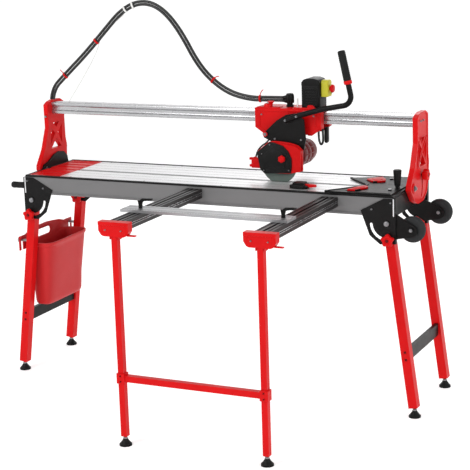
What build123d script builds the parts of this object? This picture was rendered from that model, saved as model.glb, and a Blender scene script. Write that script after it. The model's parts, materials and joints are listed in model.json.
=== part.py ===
from build123d import *
import math
import os

# Bridge tile cutter on folding legs, with a side extension table.  Millimetres.
# Working axes: X along the table, Y from the front face of the tray to the back, Z up from the floor.
# The row origin is moved to the middle of the footprint when the pieces are written.

os.makedirs("parts", exist_ok=True)

# ---- driving dimensions --------------------------------------------------------------------------
ROW_SHIFT = (-9.5, 108.5, 0.0)

TABLE_Z = 800.0
TRAY_HALF = 751.0
TRAY_DEPTH = 354.0
TRAY_BOTTOM = 728.0
TRAY_TOP = 794.0
SHEET = 3.0
STRIP_TOP = 801.0
STRIP_WIDTH = 10.0
PLATE_BOTTOM = 791.0
PLATE_TOP = 799.0
SLOT_FRONT = 151.0
SLOT_BACK = 167.0
RED_PANEL_END = -606.0

CUT_Y = 157.0
TILT_Y = CUT_Y
TILT_Z = TABLE_Z
TILT_SLOT_RADIUS = 97.0
TILT_KNOB_ANGLE = 20.6
TILT_RANGE = 45.0

END_PLATE_IN = 751.0
END_PLATE_OUT = 755.0
COLUMN_IN = 757.0
COLUMN_OUT = 773.0

BEAM_FRONT = 226.0
BEAM_BACK = 272.0
BEAM_BOTTOM = 1007.0
BEAM_TOP = 1053.0
BEAM_MID_Z = (BEAM_BOTTOM + BEAM_TOP) / 2
BEAM_MID_Y = (BEAM_FRONT + BEAM_BACK) / 2
GROOVE_HALF = 12.0
GROOVE_DEPTH = 5.0

LEG_PIVOT_X = 727.0
LEG_PIVOT_Z = 703.0
LEG_SIZE = 33.0
LEG_WALL = 2.0
LEG_SPLAY = 7.79
LEG_LENGTH = 673.0
LEG_GAP = 0.6
FRAME_PITCH = 357.0
LOCK_RADIUS = 57.0
FOOT_X = 820.0

WHEEL_X = 814.0
WHEEL_Z = 684.0
WHEEL_RADIUS = 47.0
WHEEL_WIDTH = 24.0
WHEEL_YS = {"front": 22.0, "rear": 335.0}

ARM_XS = (-18.0, 515.0)
ARM_HALF = 30.0
ARM_TOP = 787.0
ARM_BOTTOM = 753.0
ARM_END_Y = -578.0
EXT_LEG_Y = -592.0
EXT_LEG_HALF = 11.0
EXT_PIN_Z = 738.0
BRACKET_HALF = 57.0
BRACKET_FRONT = -607.0

BLADE_X = 256.0
BLADE_Z = 862.0
BLADE_RADIUS = 70.0
BLADE_HALF = 0.8
MOTOR_X = 297.0
MOTOR_Z = 893.0
MOTOR_RADIUS = 48.0
PLUNGE_X = 200.0
PLUNGE_Z = 972.0

CARRIAGE_LEFT = 145.0
CARRIAGE_RIGHT = 408.0
CARRIAGE_FRONT = 196.0
CARRIAGE_BACK = 302.0
CARRIAGE_TOP = 1064.0
ROLLER_RADIUS = 13.0
ROLLER_XS = (190.0, 363.0)
ROLLER_Y = BEAM_FRONT + GROOVE_DEPTH - ROLLER_RADIUS - 0.3

HOSE_Y = 250.0
HOSE_DIAMETER = 11.0
FIT = 0.06


# ---- helpers -------------------------------------------------------------------------------------
def block(x0, x1, y0, y1, z0, z1):
    """A box between two corners."""
    centre = Pos((x0 + x1) / 2, (y0 + y1) / 2, (z0 + z1) / 2)
    return centre * Box(x1 - x0, y1 - y0, z1 - z0)


def rod_x(x0, x1, y, z, radius):
    """A round bar along X."""
    return Pos((x0 + x1) / 2, y, z) * Rot(0, 90, 0) * Cylinder(radius, x1 - x0)


def rod_y(x, y0, y1, z, radius):
    """A round bar along Y."""
    return Pos(x, (y0 + y1) / 2, z) * Rot(90, 0, 0) * Cylinder(radius, y1 - y0)


def rod_z(x, y, z0, z1, radius):
    """A round bar along Z."""
    return Pos(x, y, (z0 + z1) / 2) * Cylinder(radius, z1 - z0)


def cone_z(x, y, z0, z1, low, high):
    """A cone standing along Z."""
    return Pos(x, y, (z0 + z1) / 2) * Cone(low, high, z1 - z0)


def plate_xz(points, y0, y1):
    """A plate that faces front, from its outline in X and Z."""
    outline = make_face(Polyline(*[(x, y0, z) for x, z in points], close=True))
    return extrude(outline, amount=y1 - y0, dir=(0, 1, 0))


def plate_yz(points, x0, x1):
    """A plate that faces sideways, from its outline in Y and Z."""
    outline = make_face(Polyline(*[(x0, y, z) for y, z in points], close=True))
    return extrude(outline, amount=x1 - x0, dir=(1, 0, 0))


def plate_xy(points, z0, z1):
    """A flat plate, from its outline in X and Y."""
    outline = make_face(Polyline(*[(x, y, z0) for x, y in points], close=True))
    return extrude(outline, amount=z1 - z0, dir=(0, 0, 1))


def mirrored(points):
    """The same outline on the other side of the machine."""
    return [(-x, z) for x, z in points]


def arc_slot(x, z, radius, half_width, start, end, y0, y1):
    """A curved slot through a front-facing plate; angles in degrees from +X towards +Z."""
    steps = 12
    angles = [math.radians(start + (end - start) * i / steps) for i in range(steps + 1)]
    far, near = radius + half_width, radius - half_width
    outer = [(x + far * math.cos(a), z + far * math.sin(a)) for a in angles]
    inner = [(x + near * math.cos(a), z + near * math.sin(a)) for a in angles]
    slot = plate_xz(outer + inner[::-1], y0, y1)
    for a in (angles[0], angles[-1]):
        slot += rod_y(x + radius * math.cos(a), y0, y1, z + radius * math.sin(a), half_width)
    return slot


def star_y(x, z, y0, y1, radius, lobes=5):
    """A lobed hand knob whose axis runs along Y."""
    knob = rod_y(x, y0, y1, z, radius * 0.76)
    for i in range(lobes):
        a = math.radians(90 + 360 * i / lobes)
        knob += rod_y(x + radius * 0.70 * math.cos(a), y0, y1, z + radius * 0.70 * math.sin(a), radius * 0.30)
    return knob


def save(name, *solids):
    """Write one node; several solids go into one file as a group."""
    moved = [Pos(*ROW_SHIFT) * s for s in solids]
    shape = moved[0] if len(moved) == 1 else Compound(children=moved)
    export_step(shape, f"parts/{name}.step")


# ---- tray and table ------------------------------------------------------------------------------
def tray_shell():
    """Open water basin folded from sheet."""
    outer = block(-TRAY_HALF, TRAY_HALF, 0, TRAY_DEPTH, TRAY_BOTTOM, TRAY_TOP)
    inner_half = TRAY_HALF - SHEET
    inside = block(-inner_half, inner_half, SHEET, TRAY_DEPTH - SHEET, TRAY_BOTTOM + SHEET, TRAY_TOP + 1)
    return outer - inside


def edge_strips():
    """Four black strips that cap the tray's rim."""
    inner_x = TRAY_HALF - STRIP_WIDTH
    back = TRAY_DEPTH - STRIP_WIDTH + 1
    front = STRIP_WIDTH - 1
    return [
        block(-TRAY_HALF, TRAY_HALF, -1, front, TRAY_TOP, STRIP_TOP),
        block(-TRAY_HALF, TRAY_HALF, back, TRAY_DEPTH + 1, TRAY_TOP, STRIP_TOP),
        block(-TRAY_HALF, -inner_x, front, back, TRAY_TOP, STRIP_TOP),
        block(inner_x, TRAY_HALF, front, back, TRAY_TOP, STRIP_TOP),
    ]


def table_plate(y0, y1):
    """One half of the table, an aluminium plate beside the blade's slot."""
    return block(RED_PANEL_END, TRAY_HALF - STRIP_WIDTH, y0, y1, PLATE_BOTTOM, PLATE_TOP)


def red_panel():
    """Moulded panel that closes the left end of the table, slotted for the end of the blade's travel."""
    left = -(TRAY_HALF - STRIP_WIDTH)
    edge = STRIP_WIDTH - 1
    panel = block(left, RED_PANEL_END, edge, TRAY_DEPTH - edge, PLATE_BOTTOM, PLATE_TOP - 1)
    return panel - block(-664, RED_PANEL_END + 1, SLOT_FRONT, SLOT_BACK, PLATE_BOTTOM - 1, PLATE_TOP)


def table_supports():
    """Cross members under the table plates, notched under the blade's slot."""
    bars = []
    for x in (-735.0, -560.0, -230.0, 100.0, 430.0, 720.0):
        bar = block(x - 6, x + 6, SHEET, TRAY_DEPTH - SHEET, 771, PLATE_BOTTOM)
        bar -= block(x - 7, x + 7, SLOT_FRONT - 6, SLOT_BACK + 6, 779, PLATE_BOTTOM + 1)
        bars.append(bar)
    return bars


def end_plate(side):
    """Black end plate with the raised quadrant that carries one bridge column."""
    points = [
        (0, TRAY_BOTTOM), (TRAY_DEPTH, TRAY_BOTTOM), (TRAY_DEPTH, 793), (322, 793), (314, 826), (290, 846),
        (250, 852), (215, 845), (172, 824), (140, 816), (118, 793), (0, 793),
    ]
    low, high = sorted((side * END_PLATE_IN, side * END_PLATE_OUT))
    return plate_yz(points, low, high) - rod_x(low - 1, high + 1, TILT_Y, TILT_Z, 6)


# ---- leg brackets, bolts, wheels and grip --------------------------------------------------------
def leg_bracket(side, y):
    """Bracket plate with the arc slot that a leg's lock knob runs in, and a side flange."""
    outline = [(717, 792), (760, 792), (760, 632), (702, 628), (664, 658), (631, 746)]
    points = outline if side > 0 else mirrored(outline)
    plate = plate_xz(points, y - SHEET, y)
    flange = block(757, 760, y, y + 12, 632, 792) if side > 0 else block(-760, -757, y, y + 12, 632, 792)
    plate += flange
    rest = -90 + LEG_SPLAY if side > 0 else 270 - LEG_SPLAY - 360
    sweep = -93 if side > 0 else 93
    turns = (rest, rest + sweep)
    slot = arc_slot(side * LEG_PIVOT_X, LEG_PIVOT_Z, LOCK_RADIUS, 5.3, *turns, y - SHEET - 1, y + 1)
    plate -= slot
    plate -= rod_y(side * LEG_PIVOT_X, y - SHEET - 1, y + 1, LEG_PIVOT_Z, 6)
    return plate


def leg_bolt(side, y):
    """Pivot bolt of one leg, with its nut."""
    x = side * LEG_PIVOT_X
    bolt = rod_y(x, y - SHEET - 5, y - SHEET, LEG_PIVOT_Z, 9)
    bolt += rod_y(x, y - SHEET, y + LEG_SIZE + 1.6, LEG_PIVOT_Z, 6)
    bolt += rod_y(x, y + LEG_SIZE + 1.6, y + LEG_SIZE + 7, LEG_PIVOT_Z, 9)
    return bolt


def column_bolt(side):
    """Pivot bolt that one bridge column tilts on."""
    reach = sorted((side * END_PLATE_IN, side * (COLUMN_OUT + 1)))
    head = sorted((side * (COLUMN_OUT + 1), side * (COLUMN_OUT + 7)))
    return rod_x(*reach, TILT_Y, TILT_Z, 6) + rod_x(*head, TILT_Y, TILT_Z, 10)


def wheel_arms():
    """The two plates that carry the transport wheels, and their axles."""
    tip = [(812, 708), (834, 694), (836, 672), (818, 660)]
    front = plate_xz([(760, 738)] + tip + [(760, 648)], 3, 7)
    rear = plate_xz([(690, 728), (760, 728)] + tip + [(760, 648), (690, 690)], 316, 320)
    solids = []
    for plate, y in ((front, WHEEL_YS["front"]), (rear, WHEEL_YS["rear"])):
        plate -= rod_y(WHEEL_X, y - 30, y + 30, WHEEL_Z, 6)
        axle = rod_y(WHEEL_X, y - 19, y + 14, WHEEL_Z, 6)
        axle += rod_y(WHEEL_X, y - 24, y - 19, WHEEL_Z, 9)
        axle += rod_y(WHEEL_X, y + 14, y + 18, WHEEL_Z, 9)
        solids += [plate, axle]
    return solids


def wheel_tyre(y):
    """Solid tyre with a rounded tread."""
    half = WHEEL_WIDTH / 2
    tyre = rod_y(WHEEL_X, y - half, y + half, WHEEL_Z, WHEEL_RADIUS)
    tyre = fillet(tyre.edges().filter_by(GeomType.CIRCLE), 6)
    return tyre - rod_y(WHEEL_X, y - half - 1, y + half + 1, WHEEL_Z, 30)


def wheel_hub(y):
    """Dished wheel hub."""
    half = WHEEL_WIDTH / 2 - 1
    hub = rod_y(WHEEL_X, y - half, y + half, WHEEL_Z, 30)
    for y0, y1 in ((y - half - 1, y - half + 5), (y + half - 5, y + half + 1)):
        hub -= rod_y(WHEEL_X, y0, y1, WHEEL_Z, 25) - rod_y(WHEEL_X, y0, y1, WHEEL_Z, 12)
    return hub - rod_y(WHEEL_X, y - half - 1, y + half + 1, WHEEL_Z, 6 + FIT)


def transport_grip():
    """Grip at the left end, to pull the cutter along on its wheels."""
    grip = rod_x(-838, -END_PLATE_OUT, 34, 752, 12)
    grip = fillet(grip.edges().filter_by(GeomType.CIRCLE).sort_by(Axis.X)[0], 8)
    return grip


# ---- folding leg frames --------------------------------------------------------------------------
def leg_tube(side, y):
    """One square leg tube with a round head that turns on its pivot bolt."""
    half = LEG_SIZE / 2
    inner = half - LEG_WALL
    tube = block(-half, half, -half, half, -LEG_LENGTH, 0)
    tube += rod_y(0, -half, half, 0, half)
    tube -= block(-inner, inner, -inner, inner, -LEG_LENGTH + 3, -22)
    tube -= rod_y(0, -half - 1, half + 1, 0, 6 + FIT)
    splay = Rot(0, -side * LEG_SPLAY, 0)
    return Pos(side * LEG_PIVOT_X, y + LEG_GAP + half, LEG_PIVOT_Z) * splay * tube


def leg_brace(side):
    """Flat tube that ties the front and rear leg of one frame."""
    x = side * 792.0
    front = LEG_GAP + LEG_SIZE
    back = FRAME_PITCH + LEG_GAP
    brace = block(x - 7, x + 7, front, back, 205, 250)
    return brace - block(x - 5, x + 5, front - 1, back + 1, 207, 248)


def levelling_foot(x, y, stud_top):
    """Round levelling foot with a conical neck and its stud."""
    foot = rod_z(x, y, 0, 6, 22)
    foot += cone_z(x, y, 6, 24, 20, 7)
    foot += rod_z(x, y, 24, stud_top, 5)
    return foot


def main_feet(side):
    """Front and rear foot of one leg frame."""
    middle = LEG_GAP + LEG_SIZE / 2
    return [levelling_foot(side * FOOT_X, y + middle, 35.4) for y in (0.0, FRAME_PITCH)]


def lock_knob(side, y):
    """Hand knob that locks one leg; its stud runs in the bracket's arc slot."""
    a = math.radians(LEG_SPLAY)
    x = side * (LEG_PIVOT_X + LOCK_RADIUS * math.sin(a))
    z = LEG_PIVOT_Z - LOCK_RADIUS * math.cos(a)
    knob = star_y(x, z, y - 27, y - 9, 24)
    knob += rod_y(x, y - 9, y - 4, z, 9)
    knob += rod_y(x, y - 4, y + LEG_GAP - 0.3, z, 4.8)
    return knob


# ---- waste bucket --------------------------------------------------------------------------------
def bucket():
    """Plastic bin that hangs outside the left legs on two ears, with a hand slot in its back wall."""
    def shell(grow, z0, z1):
        low = Rectangle(72 - 2 * grow, 262 - 2 * grow)
        high = Rectangle(116 - 2 * grow, 305 - 2 * grow)
        low = fillet(low.vertices(), 16 - grow)
        high = fillet(high.vertices(), 22 - grow)
        return loft([Pos(-752, 193, z0) * low, Pos(-742, 193, z1) * high])

    bin_ = shell(0, 262, 520) - shell(2.5, 264.5, 520.01)
    outline = [(52, 500), (334, 500), (334, 548), (300, 560), (200, 570), (100, 564), (52, 552)]
    wall = plate_yz(outline, -800, -797)
    bin_ += wall
    slot = block(-806, -790, 123, 211, 520, 550)
    slot += rod_x(-806, -790, 123, 535, 15) + rod_x(-806, -790, 211, 535, 15)
    bin_ -= slot
    for y0, y1, peg in ((-2, 60, 17), (326, 392, 374)):
        ear = block(-800, -797, y0, y1, 494, 552)
        ear -= block(-801, -796, peg - 6, peg + 6, 493, 540)
        bin_ += ear
    return bin_


def bucket_pegs():
    """Pegs on the left legs that the bucket's ears hang on."""
    pegs = []
    for y in (17.1, 374.1):
        peg = rod_x(-812, -764, y, 534.5, 5)
        peg += rod_x(-812, -806, y, 534.5, 9)
        peg -= leg_tube(-1, 0.0)
        peg -= leg_tube(-1, FRAME_PITCH)
        pegs.append(peg)
    return pegs


# ---- extension table -----------------------------------------------------------------------------
def extension_arm(x):
    """Extruded arm with a T-slot along its top."""
    arm = block(x - ARM_HALF, x + ARM_HALF, ARM_END_Y, 0, ARM_BOTTOM, ARM_TOP)
    arm -= block(x - ARM_HALF + 3, x + ARM_HALF - 3, ARM_END_Y - 1, 1, ARM_BOTTOM + 3, ARM_TOP - 5)
    arm -= block(x - 5, x + 5, ARM_END_Y - 1, 1, ARM_TOP - 6, ARM_TOP + 1)
    for offset in (-19, 19):
        arm -= block(x + offset - 4, x + offset + 4, ARM_END_Y - 1, 1, ARM_TOP - 2, ARM_TOP + 1)
    return arm


def arm_bracket(x):
    """Red end bracket that caps an arm and carries the pin of the extension leg."""
    def outline(inset):
        h = BRACKET_HALF - inset
        top = ARM_TOP + 1 - inset
        return [(x - h, top), (x + h, top), (x + h, 757), (x + 47 - inset, 742 + inset), (x + 38, 738 + inset),
                (x - 38, 738 + inset), (x - 47 + inset, 742 + inset), (x - h, 757)]

    shell = plate_xz(outline(0), BRACKET_FRONT, ARM_END_Y)
    shell -= plate_xz(outline(3), BRACKET_FRONT + SHEET, ARM_END_Y + 1)
    shell -= block(x - 17, x + 17, BRACKET_FRONT + SHEET, ARM_END_Y + 1, 720, 750)
    shell += block(x - 27, x + 27, BRACKET_FRONT + SHEET, ARM_END_Y, 757, 781)
    for side in (-1, 1):
        inner, outer = sorted((x + side * 13, x + side * 17))
        shell += block(inner, outer, BRACKET_FRONT + SHEET, ARM_END_Y, 728, 757)
        shell -= rod_x(inner - 1, outer + 1, EXT_LEG_Y, EXT_PIN_Z, 4)
    return shell


def bracket_pin(x):
    """Pin that an extension leg folds on."""
    return rod_x(x - 17, x + 17, EXT_LEG_Y, EXT_PIN_Z, 4)


def release_lever(x):
    """Small lever that frees an arm bracket from its arm."""
    corner = plate_xz([(x + 40, 746), (x + 48, 746), (x + 57, 757), (x + 40, 757)], -601, -587)
    return block(x + 48, x + 78, -600, -588, 741, 745) - corner


def extension_leg(x):
    """Square extension leg with a round head."""
    h = EXT_LEG_HALF
    y = EXT_LEG_Y
    leg = block(x - h, x + h, y - h, y + h, 34, EXT_PIN_Z)
    leg += rod_x(x - h, x + h, y, EXT_PIN_Z, h)
    leg -= block(x - h + 1.5, x + h - 1.5, y - h + 1.5, y + h - 1.5, 37, EXT_PIN_Z - 14)
    leg -= rod_x(x - h - 1, x + h + 1, y, EXT_PIN_Z, 4 + FIT)
    return leg


def sleeve(x):
    """Cast sleeve that joins the crossbar to a leg."""
    h = EXT_LEG_HALF
    y = EXT_LEG_Y
    ring = block(x - h - 4, x + h + 4, y - h - 4, y + h + 4, 225, 261)
    return ring - block(x - h, x + h, y - h, y + h, 224, 262)


def crossbar():
    """Crossbar between the two extension legs."""
    h = EXT_LEG_HALF
    left = ARM_XS[0] + h + 4
    right = ARM_XS[1] - h - 4
    bar = block(left, right, EXT_LEG_Y - h, EXT_LEG_Y + h, 232, 254)
    return bar - block(left - 1, right + 1, EXT_LEG_Y - h + 1.5, EXT_LEG_Y + h - 1.5, 233.5, 252.5)


def ruler_bar():
    """Flat aluminium stop bar that slides on the extension arms."""
    bar = block(-78, 545, -449, -375, ARM_TOP + 0.5, ARM_TOP + 10)
    for x in ARM_XS:
        bar -= rod_z(x, -412, ARM_TOP, ARM_TOP + 11, 4 + FIT)
    return bar


def clamp_lever(x):
    """Ratchet lever with its stud, which clamps the ruler bar to an arm's T-slot."""
    y = -412
    lever = rod_z(x, y, ARM_TOP - 5, ARM_TOP + 10.5, 4)
    lever += rod_z(x, y, ARM_TOP + 10.5, ARM_TOP + 22, 7)
    lever += cone_z(x, y, ARM_TOP + 22, ARM_TOP + 38, 7, 10)
    arm = plate_xz([(x, 812), (x + 14, 822), (x + 46, 827), (x + 46, 833), (x + 10, 832), (x, 826)], y - 4, y + 4)
    return lever + arm


# ---- table guides --------------------------------------------------------------------------------
def guide_plate():
    """Black plate with a V notch that holds a tile's corner on the cutting line."""
    outline = [
        (493, 6), (741, 6), (741, 346), (604, 312), (493, 262), (599, 152), (599, 138),
    ]
    plate = plate_xy(outline, STRIP_TOP + 0.2, STRIP_TOP + 5)
    plate -= plate_xy([(560, 24), (610, 24), (628, 96), (606, 112)], STRIP_TOP, STRIP_TOP + 6)
    plate -= plate_xy([(566, 226), (612, 182), (650, 210), (612, 286)], STRIP_TOP, STRIP_TOP + 6)
    for x, y in ((652, 268), (712, 76)):
        plate += rod_z(x, y, STRIP_TOP + 5, STRIP_TOP + 9, 7)
    return plate


def guide_inserts():
    """Two red sliding jaws set in the arms of the V."""
    return [
        plate_xy([(572, 26), (606, 26), (624, 94), (606, 106)], STRIP_TOP + 0.2, STRIP_TOP + 11),
        plate_xy([(572, 226), (612, 187), (646, 212), (612, 280)], STRIP_TOP + 0.2, STRIP_TOP + 11),
    ]


def guide_knob():
    """Upright knob that locks the guide plate."""
    knob = rod_z(722, 129, STRIP_TOP + 5.3, STRIP_TOP + 14, 8)
    knob += cone_z(722, 129, STRIP_TOP + 14, STRIP_TOP + 70, 11, 15)
    return knob


def stop_block():
    """Small tile stop that slides on the front half of the table."""
    stop = block(348, 404, 30, 86, STRIP_TOP + 0.3, STRIP_TOP + 21)
    stop += plate_xy([(404, 36), (424, 40), (444, 56), (424, 68), (404, 74)], STRIP_TOP + 0.3, STRIP_TOP + 14)
    return stop


def bevel_knob():
    """Hand knob that locks the bridge's tilt; its stud runs in the right column's arc slot."""
    a = math.radians(TILT_KNOB_ANGLE)
    y = TILT_Y + TILT_SLOT_RADIUS * math.cos(a)
    z = TILT_Z + TILT_SLOT_RADIUS * math.sin(a)
    knob = rod_x(END_PLATE_OUT + 0.3, COLUMN_OUT + 5, y, z, 4.8)
    knob += rod_x(COLUMN_OUT + 5, COLUMN_OUT + 27, y, z, 16)
    for i in range(5):
        b = math.radians(90 + 72 * i)
        knob += rod_x(COLUMN_OUT + 8, COLUMN_OUT + 26, y + 15 * math.cos(b), z + 15 * math.sin(b), 6.5)
    return knob


# ---- bridge --------------------------------------------------------------------------------------
def column(side):
    """Cast column with a cross lattice and the tilt quadrant at its foot."""
    outline = [
        (194, 1046), (214, 1056), (240, 1061), (290, 1061), (316, 1048), (318, 900), (325, 872), (320, 806),
        (300, 760), (262, 738), (205, 736), (160, 752), (116, 798), (118, 816), (160, 872), (196, 955),
    ]
    low, high = sorted((side * COLUMN_IN, side * COLUMN_OUT))
    cast = plate_yz(outline, low, high)
    windows = [
        [(231, 970), (275, 970), (253, 950)],
        [(296, 958), (290, 880), (262, 928)],
        [(215, 952), (203, 884), (243, 928)],
        [(208, 868), (284, 868), (250, 908)],
    ]
    for window in windows:
        cast -= plate_yz(window, low - 1, high + 1)
    steps = 10
    start = math.radians(TILT_KNOB_ANGLE)
    end = math.radians(TILT_KNOB_ANGLE - TILT_RANGE - 1)
    angles = [start + (end - start) * i / steps for i in range(steps + 1)]
    far, near = TILT_SLOT_RADIUS + 5.4, TILT_SLOT_RADIUS - 5.4
    rim = [(TILT_Y + far * math.cos(a), TILT_Z + far * math.sin(a)) for a in angles]
    rim += [(TILT_Y + near * math.cos(a), TILT_Z + near * math.sin(a)) for a in angles[::-1]]
    cast -= plate_yz(rim, low - 1, high + 1)
    for a in (start, end):
        y = TILT_Y + TILT_SLOT_RADIUS * math.cos(a)
        z = TILT_Z + TILT_SLOT_RADIUS * math.sin(a)
        cast -= rod_x(low - 1, high + 1, y, z, 5.4)
    return cast - rod_x(low - 1, high + 1, TILT_Y, TILT_Z, 6 + FIT)


def beam():
    """Extruded bridge beam, hollow, with a track in its front and back faces."""
    bar = block(-COLUMN_IN, COLUMN_IN, BEAM_FRONT, BEAM_BACK, BEAM_BOTTOM, BEAM_TOP)
    bar = fillet(bar.edges().filter_by(Axis.X), 5)
    for y in (BEAM_FRONT, BEAM_BACK):
        bar -= block(-COLUMN_IN - 1, COLUMN_IN + 1, y - GROOVE_DEPTH, y + GROOVE_DEPTH,
                     BEAM_MID_Z - GROOVE_HALF, BEAM_MID_Z + GROOVE_HALF)
    bar -= block(-COLUMN_IN - 1, COLUMN_IN + 1, BEAM_FRONT + 8, BEAM_BACK - 8, BEAM_BOTTOM + 4, BEAM_TOP - 4)
    return bar


# ---- carriage ------------------------------------------------------------------------------------
def carriage_shell():
    """Folded carriage that wraps the beam, with roller axles, rear pads and the plunge pivot."""
    left, right = CARRIAGE_LEFT, CARRIAGE_RIGHT
    face = [(left, 1060), (left, 992), (182, 967), (371, 967), (right, 992), (right, 1060)]
    front = plate_xz(face, CARRIAGE_FRONT, CARRIAGE_FRONT + SHEET)
    back = plate_xz(face, CARRIAGE_BACK - SHEET, CARRIAGE_BACK)
    shell = front + back + block(left, right, CARRIAGE_FRONT, CARRIAGE_BACK, 1060, CARRIAGE_TOP)
    for x0, x1 in ((left, left + SHEET), (right - SHEET, right)):
        cheek = block(x0, x1, CARRIAGE_FRONT, CARRIAGE_BACK, 992, 1060)
        cheek -= block(x0 - 1, x1 + 1, BEAM_FRONT - 3, BEAM_BACK + 3, 990, BEAM_TOP + 3)
        shell += cheek
    shell -= rod_y(318, CARRIAGE_FRONT - 1, CARRIAGE_BACK + 1, 931, 53)
    for x in ROLLER_XS:
        shell += rod_z(x, ROLLER_Y, 1012, 1060, 4)
        shell += block(x - 15, x + 15, BEAM_BACK - GROOVE_DEPTH + 0.5, CARRIAGE_BACK - SHEET, 1020, 1040)
    shell += rod_y(PLUNGE_X, 162, CARRIAGE_FRONT, PLUNGE_Z, 6)
    shell += rod_y(PLUNGE_X, 158, 162, PLUNGE_Z, 9)
    return shell


def guide_roller(x):
    """Roller that runs in the beam's front track."""
    roller = rod_z(x, ROLLER_Y, 1022, 1038, ROLLER_RADIUS)
    return roller - rod_z(x, ROLLER_Y, 1021, 1039, 4 + FIT)


def hose_gland():
    """Upright union on the carriage that takes the hose and the cable side by side."""
    gland = rod_z(264, HOSE_Y, CARRIAGE_TOP, 1080, 10)
    gland += rod_x(244, 262, HOSE_Y, 1097.2, 8)
    gland += rod_x(244, 262, HOSE_Y, 1085.8, 8)
    gland += rod_z(264, HOSE_Y, 1080, 1112, 13)
    return gland


def switch_box():
    """Switch box on top of the carriage."""
    box = block(326, 399, 210, 280, CARRIAGE_TOP, 1172)
    box = fillet(box.edges().filter_by(Axis.Z), 6)
    box = fillet(box.faces().sort_by(Axis.Z)[-1].edges(), 5)
    return box - block(330, 395, 214, 276, CARRIAGE_TOP + 3, 1166)


def switch_cover():
    """Yellow button housing on the end of the switch box."""
    cover = block(399, 427, 222, 262, 1107, 1168)
    cover -= rod_x(418, 428, 238, 1137, 9)
    cover -= rod_x(420, 428, 254, 1122, 5.5)
    return cover


def stop_button():
    """Red mushroom button."""
    return rod_x(423.5, 433, 238, 1137, 8.6) + rod_x(433, 445, 238, 1137, 15)


def start_button():
    """Small green start button."""
    return rod_x(423.5, 429.5, 254, 1122, 5.1)


def carriage_knob():
    """Funnel-shaped knob that locks the carriage on the beam."""
    knob = rod_z(200, 221, CARRIAGE_TOP + 0.3, CARRIAGE_TOP + 4, 9)
    knob += cone_z(200, 221, CARRIAGE_TOP + 4, CARRIAGE_TOP + 22, 5, 13)
    return knob


# ---- saw head ------------------------------------------------------------------------------------
def plunge_bracket():
    """Plate that carries the motor, the guard and the handle, and turns on the plunge pivot."""
    outline = [
        (188, 972), (192, 958), (232, 940), (222, 850), (250, 838), (330, 846), (346, 900), (358, 958),
        (352, 1030), (318, 1052), (281, 1045), (244, 1023), (205, 988),
    ]
    plate = plate_xz(outline, 168, 173)
    plate -= rod_y(PLUNGE_X, 160, 180, PLUNGE_Z, 6 + FIT)
    plate -= rod_y(BLADE_X, 160, 180, BLADE_Z, 8 + FIT)
    return plate


def motor_housing():
    """Motor barrel behind the bracket, with its gear nose and a stepped rear cowl."""
    motor = rod_y(MOTOR_X, 173, 190, MOTOR_Z, 40)
    motor += rod_y(BLADE_X, 173, 186, BLADE_Z, 18)
    motor += rod_y(MOTOR_X, 190, 300, MOTOR_Z, MOTOR_RADIUS)
    motor += rod_y(MOTOR_X, 300, 330, MOTOR_Z, 43)
    return motor


GUARD_OUTLINE = [
    (224, 947), (174, 908), (186, 846), (200, 830), (300, 832), (346, 842), (348, 918), (330, 934), (290, 942),
]


def guard_body():
    """Rear half of the blade guard, with the water nozzle bracket at its left."""
    body = plate_xz(GUARD_OUTLINE, 141, 168)
    hollow = [(225, 943), (178, 907), (190, 826), (340, 826), (344, 915), (328, 930), (290, 939)]
    body -= plate_xz(hollow, 143.5, 165)
    body -= rod_y(BLADE_X, 160, 169, BLADE_Z, 13)
    body += block(146, 184, 150, 164, 846, 884)
    body += block(138, 146, 150, 164, 876, 884) + block(138, 146, 150, 164, 850, 858)
    return body


def guard_cover():
    """Black front cover of the guard, with its fixing knob."""
    cover = plate_xz([
        (224, 947), (174, 908), (186, 846), (203, 829), (309, 835), (313, 860), (313, 888), (301, 915),
        (280, 935), (243, 947),
    ], 137, 141)
    cover += rod_y(280, 124, 137, 889, 11)
    return cover


def handle_tube():
    """Bent handle tube, bolted flat to the bracket at its lower end."""
    path = FilletPolyline((286, 158, 1026), (330, 158, 1044), (430, 158, 1072), (546, 158, 1094), (529, 158, 1172),
                          radius=[60, 60, 34])
    start = Plane(origin=path @ 0, z_dir=path % 0)
    return sweep(start * Circle(10), path=path)


def handle_grip():
    """Foam grip with a collar at its lower end."""
    low = Vector(529, 158, 1172)
    high = low + (low - Vector(546, 158, 1094)).normalized() * 113
    line = Line(low, high)
    plane = Plane(origin=low, z_dir=(high - low).normalized())
    grip = sweep(plane * Circle(14), path=line)
    return grip


def arbor():
    """Blade shaft with its two flanges and the nut."""
    shaft = rod_y(BLADE_X, 158, 173, BLADE_Z, 8)
    shaft += rod_y(BLADE_X, CUT_Y + BLADE_HALF, 161, BLADE_Z, 12)
    shaft += rod_y(BLADE_X, 150, CUT_Y - BLADE_HALF, BLADE_Z, 20)
    shaft += rod_y(BLADE_X, 144, 150, BLADE_Z, 11)
    shaft += rod_y(BLADE_X, CUT_Y - BLADE_HALF, CUT_Y + BLADE_HALF, BLADE_Z, 8)
    return shaft


def blade():
    """Continuous-rim diamond blade."""
    disc = rod_y(BLADE_X, CUT_Y - BLADE_HALF, CUT_Y + BLADE_HALF, BLADE_Z, BLADE_RADIUS)
    return disc - rod_y(BLADE_X, CUT_Y - 2, CUT_Y + 2, BLADE_Z, 8)


def water_pump():
    """Submersible pump on the tray's floor."""
    pump = block(-700, -640, 210, 280, TRAY_BOTTOM + SHEET, TRAY_BOTTOM + 38)
    pump = fillet(pump.edges().filter_by(Axis.Z), 8)
    return pump + rod_z(-670, 245, TRAY_BOTTOM + 38, TRAY_BOTTOM + 42, 8)


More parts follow.
